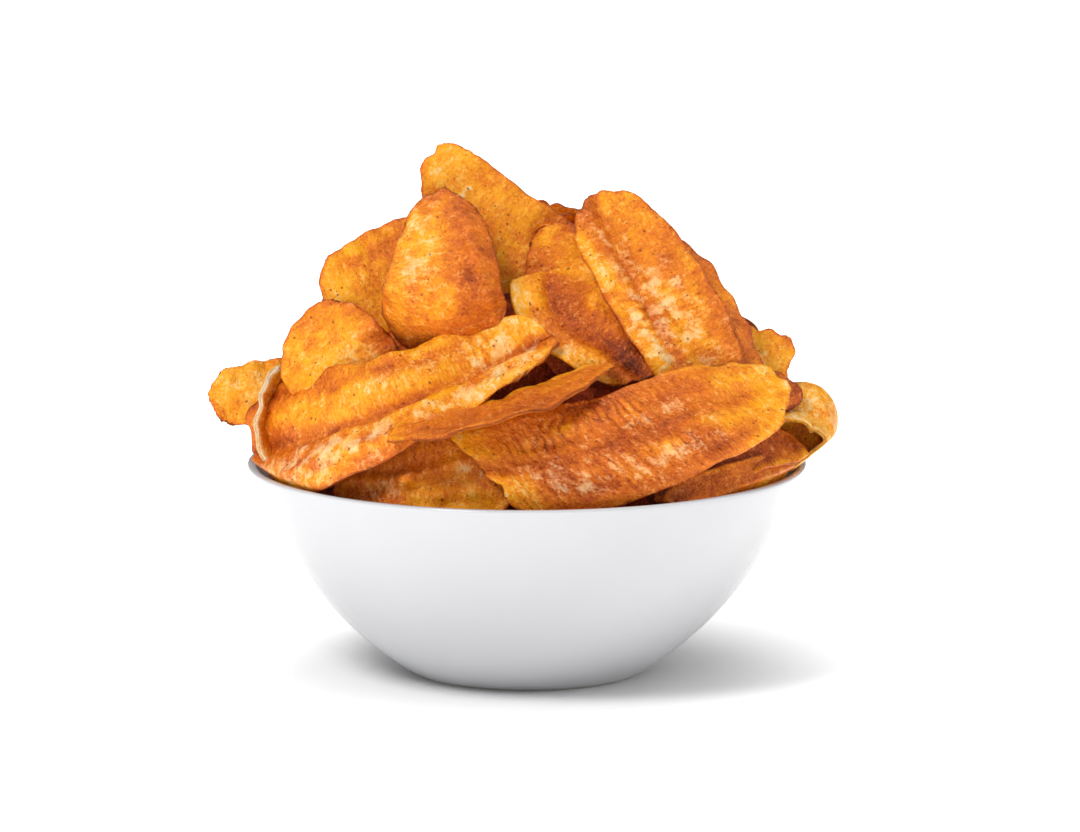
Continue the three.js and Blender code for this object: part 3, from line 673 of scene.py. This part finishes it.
rightSlices = {
    "rightSmall": {
        "path": [(52, -14, 110), (67, -14, 105), (84, -14, 101)], "face": (0.1, -0.8, 0.6),
        "width": 22, "cup": 0, "tips": (3, 5), "seed": 31, "tone": (0.68, 0.64), "side": (0.05, 0.0),
        "spots": [(0.4, 0.0, 0.5, 0.8, 0.28)],
    },
    "redBehind": {
        "path": [(62, -18, 98), (75, -20, 95), (87, -22, 91)], "face": (0.1, -0.8, 0.6),
        "width": 14, "cup": 0, "ruffle": 0.6, "seed": 33, "tone": (0.44, 0.4),
    },
    "rightCurl": {
        "path": [(64, -20, 85), (82, -18, 89), (92, -16, 87), (97, -16, 80), (94, -16, 74), (88, -18, 72.5),
                 (80, -18, 68), (66, -22, 64)],
        "face": [(0, -0.2, 1), (0.2, -0.2, 1), (0.8, -0.2, 0.8), (1, -0.2, -0.1), (0.8, -0.2, -0.6),
                 (0.3, -0.1, -1), (0.1, -0.1, -1), (0.1, -0.1, -1)],
        "width": 24, "cup": 0, "ruffle": 0.6, "seed": 35,
        "folds": [(-0.4, -0.6, 0.1, 0.2, 1.2, 3), (0.0, 0.5, 0.6, 0.1, 1.0, 3)],
        "tone": (0.56, 0.72, 0.78, 0.6, 0.55), "rim": 0.16,
        "spots": [(-0.3, 0.2, 0.5, 0.9, 0.2), (0.3, -0.2, 0.4, 0.7, 0.24)], "finish": "pale",
    },
    "underRight": {
        "path": [(40, -62, 68), (60, -52, 76), (76, -38, 79), (88, -26, 77)], "face": (0.3, -0.7, 0.7),
        "width": 16, "cup": 0, "ruffle": 0.4, "lump": 0.2, "streaks": 0.6, "seed": 37,
        # its low tones are painted shade, as it lies in the shadow of frontLong
        "tone": (0.2, 0.26, 0.38), "side": (-0.06, 0.0, 0.12), "rim": 0.26,
    },
    "edgeOn": {
        "path": [(43, -67, 65.5), (61, -58.5, 69), (77, -44.5, 70.5), (89, -21, 70.5)],
        "face": (0.5, -0.8, 0.5),
        "width": 15, "cup": 12, "ruffle": 0.5, "lump": 0.2, "seed": 39,
        # darker towards its first end and one edge: painted shade beneath frontLong
        "tone": (0.34, 0.5, 0.6), "side": (-0.12, 0.1), "rim": 0.26, "spots": [(0.4, 0.3, 0.3, 0.5, 0.2)],
    },
    "curlInside": {
        "path": [(60, -12, 79), (78, -13, 79), (94.5, -12, 78)], "face": (0.1, -1, 0.1),
        "width": 20, "cup": 0, "seed": 89,
        "folds": [(-0.2, -0.2, 0.8, -0.6, 1.6, 4), (-0.1, 0.1, 0.8, 0.4, 1.6, 4)], "tone": (0.5, 0.6, 0.72),
    },
    "rightGap": {
        "path": [(82, 2, 76), (68, 2, 98), (52, -4, 120)], "face": (0.9, -0.1, 0.4),
        "width": 28, "seed": 81, "tone": (0.4, 0.5),
    },
    "rightInner": {
        "path": [(50, -52, 78), (66, -40, 87), (75, -26, 91)], "face": (0.7, -0.7, 0.4),
        # dark in the brown finish: painted shade in the gap under frontLong's right end
        "width": 24, "seed": 83, "tone": (0.3, 0.3), "finish": "brownAndShade",
    },
    "sideRightLow": {
        "path": [(85, -4, 72), (78, 20, 80), (56, 50, 80)], "face": (1, 0.5, 0.4),
        "width": 28, "seed": 75, "tone": (0.48, 0.55),
    },
    "rightMid": {
        "path": [(80, 26, 88), (66, 14, 110), (44, 4, 134)], "face": (0.8, 0.5, 0.6),
        "width": 34, "ribs": 0.2, "border": 0.4, "seed": 65, "tone": (0.55, 0.62), "seam": 0.12,
        "spots": [(0.1, 0.4, 0.4, 0.3, 0.22)], "finish": "golden",
    },
}
leftSlices = {
    "sideLeftLow": {
        "path": [(-83, -2, 70), (-75, 28, 80), (-50, 56, 80)], "face": (-1, 0.5, 0.4),
        "width": 30, "seed": 77, "tone": (0.45, 0.58),
    },
    "leftGap": {
        "path": [(-80, 3, 74), (-68, 3, 94), (-54, 0, 112)], "face": (-0.9, 0.2, 0.4),
        "width": 24, "seed": 85, "tone": (0.35, 0.45),
    },
    "leftMid": {
        "path": [(-73, 16, 86), (-63, 9, 110), (-45, 4, 130)], "face": (-0.8, 0.5, 0.6),
        "width": 34, "cup": 30, "groove": 1.0, "ribs": 0.15, "seed": 67,
        "tone": (0.5, 0.6), "seam": 0.15, "rim": 0.1,
    },
}
backSlices = {
    "backLowLeft": {
        "path": [(-75, 28, 72), (-57, 53, 84), (-24, 71, 82)], "face": (-0.6, 0.8, 0.5),
        "width": 34, "cup": -45, "seed": 51, "tone": (0.6, 0.68), "finish": "golden",
    },
    "backLow": {
        "path": [(-34, 71, 76), (4, 75, 86), (42, 64, 80)], "face": (0.1, 1, 0.5),
        "width": 36, "groove": 1.5, "ribs": 0.2, "border": 0.4, "seed": 53,
        "tone": (0.42, 0.48, 0.58), "seam": 0.16, "spots": [(-0.3, 0.4, 0.4, 0.25, 0.25)],
    },
    "backLowRight": {
        "path": [(32, 66, 76), (61, 48, 88), (80, 16, 80)], "face": (0.7, 0.6, 0.5),
        "width": 34, "cup": 20, "seed": 55, "tone": (0.52, 0.38), "rim": 0.12,
    },
    "backMidLeft": {
        "path": [(-72, 42, 88), (-54, 38, 112), (-34, 20, 140)], "face": (-0.5, 0.6, 0.6),
        "width": 36, "groove": 1.4, "ribs": 0.18, "border": 0.4, "seed": 57,
        "tone": (0.42, 0.46, 0.6), "seam": 0.16, "spots": [(0.2, -0.4, 0.4, 0.25, 0.25)],
    },
    "backMid": {
        "path": [(-34, 66, 88), (-26, 52, 116), (-12, 27, 143)], "face": (-0.1, 0.9, 0.5),
        "width": 38, "cup": -55, "seed": 59, "tone": (0.56, 0.64, 0.7), "finish": "golden",
    },
    "backMidRight": {
        "path": [(8, 68, 86), (14, 52, 114), (12, 23, 144)], "face": (0.1, 0.9, 0.5),
        "width": 34, "cup": 25, "groove": 1.6, "seed": 61,
        "tone": (0.46, 0.44, 0.54), "seam": 0.18, "rim": 0.12, "spots": [(0.1, 0.45, 0.35, 0.25, 0.28)],
    },
    "backRight": {
        "path": [(46, 58, 88), (44, 42, 112), (30, 16, 142)], "face": (0.5, 0.7, 0.5),
        "width": 36, "cup": -50, "seed": 63, "tone": (0.6, 0.68), "finish": "golden",
    },
    "acrossBackLeft": {
        "path": [(-60, 50, 100), (-26, 64, 108), (12, 62, 106)], "face": (-0.1, 0.8, 0.6),
        "width": 32, "cup": -50, "seed": 71, "tone": (0.72, 0.64, 0.56), "finish": "golden",
    },
    "acrossBackRight": {
        "path": [(12, 55, 117), (44, 45, 114), (70, 19, 102)], "face": (0.4, 0.7, 0.6),
        "width": 30, "cup": -25, "groove": 1.3, "ribs": 0.18, "seed": 73,
        "tone": (0.5, 0.56, 0.62), "seam": 0.14,
    },
    "topSide": {
        "path": [(-30, 14, 146), (-8, 18, 145), (20, 18, 137)], "face": (0, 0.6, 0.8),
        "width": 28, "seed": 69, "tone": (0.6, 0.55),
    },
    "topCap": {
        "path": [(-8, 2, 145), (12, -2, 144), (36, 0, 135)], "face": (0.1, 0.1, 1),
        "width": 26, "seed": 79, "tone": (0.62, 0.5), "spots": [(0, 0.2, 0.4, 0.3, 0.2)],
    },
    "topLeft": {
        "path": [(-58, 4, 118), (-40, 8, 134), (-14, 12, 142)], "face": (-0.4, 0.1, 0.9),
        "width": 30, "cup": -20, "seed": 87, "tone": (0.58, 0.52),
    },
}
# the slices of the back lie loosely, their ends lifted off those below
loose = {
    "ruffle": 1.9, "tuck": (-3.0, -3.0), "lobes": 1.0, "streaks": 0.5, "rim": 0.02,
    "side": (-0.06, 0.05, -0.02, 0.06, -0.05),
    "spots": [(-0.35, 0.3, 0.5, 0.4, 0.34), (0.4, -0.3, 0.45, 0.35, 0.3)],
}
shapes = {}
for name, look in {**frontSlices, **rightSlices, **leftSlices, **backSlices}.items():
    behind = name in backSlices
    look = {**plainSlice, **(loose if behind else {}), **look}
    shapes[name] = sliceMesh(look, gridStep["rest" if behind else "front"])
    makePiece(name, [shapes[name]], crisps[look["finish"]])
triangles = 2 * sum(len(shape["quads"]) for shape in shapes.values())
print("slices made:", len(shapes), "with", triangles, "triangles")

# The middle of the heap fills the bowl, and the deeper slices lie on it. Both are dark in the brown finish:
# painted shade of the inside of the heap.
heapMiddle = {
    "alongWall": 49.0, "foot": 52.0, "top": 143.0,   # mm; up to alongWall it follows the bowl
    "section": [(79, 52), (78, 60), (74, 72), (68, 84), (60, 96), (51, 108), (42, 120), (33, 130),
                (22, 138), (10, 142), (0, 143)],     # radius and height above the bowl
    "outOfRound": 30.0,                              # mm above the foot in which it leaves the round
    "flatFront": 0.28, "flatBack": 0.1, "flatSides": 0.04,
    "drift": (-2, 4),                                # mm that its top lies off the middle
    "inset": 1.2, "dents": 1.6,                      # mm
    # dark, as painted shade of the inside of the heap
    "tone": 0.32,
}
deepSlices = {
    "count": 44, "length": (58, 88), "width": (22, 32),        # mm
    "heights": (60, 140), "crowding": 1.25,          # mm; over 1, more of them lie low
    "turn": 2.39996,                                 # from one to the next, the golden angle
    # low tones in the brown finish: painted shade of the slices deep in the heap
    "tone": (0.36, 0.54),
    "heart": (-1.0, 4.0, 72.0),                      # seen from here they stay under the outer slices,
    "cover": 2.0, "outermost": 14.0,                 # so far in mm; points far outside are left
}


# a point of the middle: it follows the bowl, and above it the section, flatter in front
def middleAt(angle, z, inset):
    look = heapMiddle
    low = wallRadius(np.minimum(z, look["foot"]), bowlSize["wall"] + glazeGap)
    r, h = np.array(look["section"], float).T
    radius = np.where(z < look["alongWall"], low, np.interp(z, h, r)) - inset
    rise = np.clip((z - look["foot"]) / look["outOfRound"], 0, 1)
    drift = np.maximum(z - look["foot"], 0) / (look["top"] - look["foot"])
    lumps = 1 + rise * (0.04 * np.sin(3 * angle + z * 0.07) + 0.03 * np.sin(5 * angle - z * 0.11 + 1))
    x, y = radius * np.cos(angle), radius * np.sin(angle)
    depth = np.where(y < 0, 1 - look["flatFront"] * rise, 1 - look["flatBack"] * rise)
    x = x * lumps * (1 - look["flatSides"] * rise) + look["drift"][0] * drift
    y = y * lumps * depth + look["drift"][1] * drift
    return np.stack([x, y, z], -1)


def middleBody(look):
    levels = np.r_[4.2, 7, np.linspace(10, 141.2, 72)]
    turns = np.linspace(0, math.tau, 181)[:-1]
    angles, z = np.meshgrid(turns, levels)
    body = middleAt(angles, z, look["inset"])
    outward = unit(body - [0, 0, 60])
    dents = look["dents"] * (1 + patches(angles * 60, z, 9.0, 4)) * step(z, 30, 60)
    body = offTheBowl(body - outward * dents[..., None])
    ends = np.array([[0, 0, levels[0]], [-2, 4, levels[-1] + 0.6]])
    # the dark tone, and 0.2 at its ends, are painted shade inside the heap
    tones = look["tone"] + 0.1 * patches(angles * 60, z, 7.0, 5)
    mesh = ringMesh("heapMiddle", body, ends)
    paint(mesh, np.r_[tones.ravel(), 0.2, 0.2], np.zeros(len(mesh.vertices)),
          np.vstack([body.reshape(-1, 3), ends]))
    settle(mesh, crisps["brownAndShade"], "banana_chips")


middleBody(heapMiddle)
print("middle of the heap made")

# the slices that lie over the deeper ones, to keep those below them
bases = np.cumsum([0] + [len(shape["points"]) for shape in shapes.values()])
outer = BVHTree.FromPolygons(
    np.vstack([shape["points"] for shape in shapes.values()]).tolist(),
    np.vstack([shape["quads"] + base for shape, base in zip(shapes.values(), bases)]).tolist())


def between(span, share):
    return span[0] + (span[1] - span[0]) * share


# one slice that lies on the middle at its own place and slope
def deepSlice(k, look):
    seed = 200 + k
    z = between(look["heights"], ((k + 0.5) / look["count"]) ** look["crowding"])
    angle = k * look["turn"]
    reach = between(look["length"], chance(seed, 31)) / 2
    tilt = math.pi * chance(seed, 32)
    radius = float(np.hypot(*middleAt(np.array(angle), np.array(z), 0)[:2]))
    path = []
    # u runs along the slice, and proud is how many mm it stands off the middle there
    for u, proud in ((-1.0, -0.6), (0.0, 1.2), (1.0, -0.6)):
        turned = angle + u * reach * math.cos(tilt) / max(radius, 18)
        raised = min(max(z + u * reach * math.sin(tilt), 50), 142.5)
        spot = middleAt(np.array(turned), np.array(raised), 0.4)
        path.append(spot + unit(spot - [0, 0, 50]) * proud)
    askew = 0.16 * np.array([chance(seed, draw) - 0.5 for draw in (33, 34, 35)])
    tone = between(look["tone"], chance(seed, 36))
    return sliceMesh({**plainSlice, "path": path, "face": unit(path[1] - np.array([0, 4, 40])) + askew,
                      "width": between(look["width"], chance(seed, 37)), "cup": -24,
                      "groove": 1.2 * chance(seed, 38), "seed": seed,
                      "tone": (tone, tone + 0.06), "seam": 0.1}, gridStep["deep"])


# draws points that stick out through the outer slices back under them
def tuckUnder(points, look):
    heart = Vector(look["heart"])
    for i, spot in enumerate(points):
        ray = Vector(spot) - heart
        distance = ray.length
        hit = outer.ray_cast(heart, ray.normalized(), distance + look["cover"])
        if hit[0] is not None and hit[3] > distance - look["outermost"]:
            points[i] = heart + ray.normalized() * (hit[3] - look["cover"])


deep = [deepSlice(k, deepSlices) for k in range(deepSlices["count"])]
for part in deep:
    tuckUnder(part["points"], deepSlices)
# the brown finish paints them in shade
makePiece("deepSlices", deep, crisps["brownAndShade"])
print("deep slices made:", len(deep))

# places in metres, powers in watts
studio = {
    "floor": "#F4F4F4", "floorRadius": 4.0,
    "paperScale": 30.0,                        # clouds in the paper to the metre
    "glow": 0.0, "fade": (0.035, 0.19),        # painted glow of the paper, and between which distances from the middle it comes up
    "surround": 0.26,                          # how much the backdrop lights the scene
    "key": {"at": (-0.7, -0.9, 1.3), "size": 0.5, "power": 17.3},
    "top": {"at": (0.1, 0.3, 1.6), "size": 1.2, "power": 9.0},
    "front": {"at": (0.1, -1.6, 0.12), "size": 0.8, "power": 4.4},
    "left": {"at": (-1.2, -0.15, 0.35), "size": 0.7, "power": 1.4},
    "right": {"at": (1.2, -0.15, 0.35), "size": 0.7, "power": 3.8},
}
target = Vector((0.0042, 0.0, 0.0824))        # the middle of the picture
camera = {"distance": 2.4, "height": 9.77, "lens": 249.1}        # m, degrees, mm

floorMesh = bpy.data.meshes.new("floor")
turns = [math.tau * k / 96 for k in range(96)]
ring = [(studio["floorRadius"] * math.cos(turn), studio["floorRadius"] * math.sin(turn), 0) for turn in turns]
floorMesh.from_pydata(ring, [], [list(range(len(ring)))])
floor = bpy.data.objects.new("floor", floorMesh)
# matt white paper with a painted glow, none near the middle and full white away from it, which washes out the
# cast shadows beyond the bowl
floorMaterial, floorTree, floorShader = newMaterial("paperSweep")
paper = add(floorTree, "ShaderNodeTexNoise", {"Scale": studio["paperScale"]})
paper = add(floorTree, "ShaderNodeMapRange", {"Value": paper, "To Min": 0.985, "To Max": 1.0})
paper = add(floorTree, "ShaderNodeHueSaturation", {"Color": colour(studio["floor"]), "Value": paper})
floorTree.links.new(paper, floorShader.inputs["Base Color"])
floorShader.inputs["Roughness"].default_value = 0.9
away = add(floorTree, "ShaderNodeTexCoord", out="Object")
away = add(floorTree, "ShaderNodeVectorMath", {0: away}, out="Value", operation="LENGTH")
near, far = studio["fade"]
paintedGlow = add(floorTree, "ShaderNodeMapRange", {
    "Value": away, "From Min": near, "From Max": far, "To Min": studio["glow"], "To Max": 1.0},
    interpolation_type="SMOOTHSTEP")
floorTree.links.new(paintedGlow, floorShader.inputs["Emission Color"])
floorShader.inputs["Emission Strength"].default_value = 1.0
floorMesh.materials.append(floorMaterial)
bpy.context.scene.collection.objects.link(floor)

world = bpy.data.worlds.new("studio")
world.use_nodes = True
# the backdrop is seen as white, and lights the scene with less than that
tree = world.node_tree
seen = add(tree, "ShaderNodeLightPath", out="Is Camera Ray")
strength = add(tree, "ShaderNodeMapRange", {"Value": seen, "To Min": studio["surround"], "To Max": 1.0})
tree.links.new(strength, tree.nodes["Background"].inputs["Strength"])
tree.nodes["Background"].inputs["Color"].default_value = (1, 1, 1, 1)
bpy.context.scene.world = world

for name in ("key", "top", "front", "left", "right"):
    look = studio[name]
    lamp = bpy.data.lights.new(name, "AREA")
    lamp.size, lamp.energy = look["size"], look["power"]
    lampObject = bpy.data.objects.new(name, lamp)
    lampObject.location = look["at"]
    lampObject.rotation_euler = (target - Vector(look["at"])).to_track_quat("-Z", "Y").to_euler()
    bpy.context.scene.collection.objects.link(lampObject)

lens = bpy.data.cameras.new("camera")
lens.lens, lens.sensor_width = camera["lens"], 36.0
lens.clip_start, lens.clip_end = 0.1, 30.0
view = bpy.data.objects.new("camera", lens)
tip = math.radians(camera["height"])
view.location = target + Vector((0, -math.cos(tip), math.sin(tip))) * camera["distance"]
view.rotation_euler = (target - view.location).to_track_quat("-Z", "Y").to_euler()
bpy.context.scene.collection.objects.link(view)
bpy.context.scene.camera = view
bpy.context.scene.view_settings.view_transform = "Standard"
bpy.context.scene.view_settings.look = "None"
print("stage, lights and camera made")
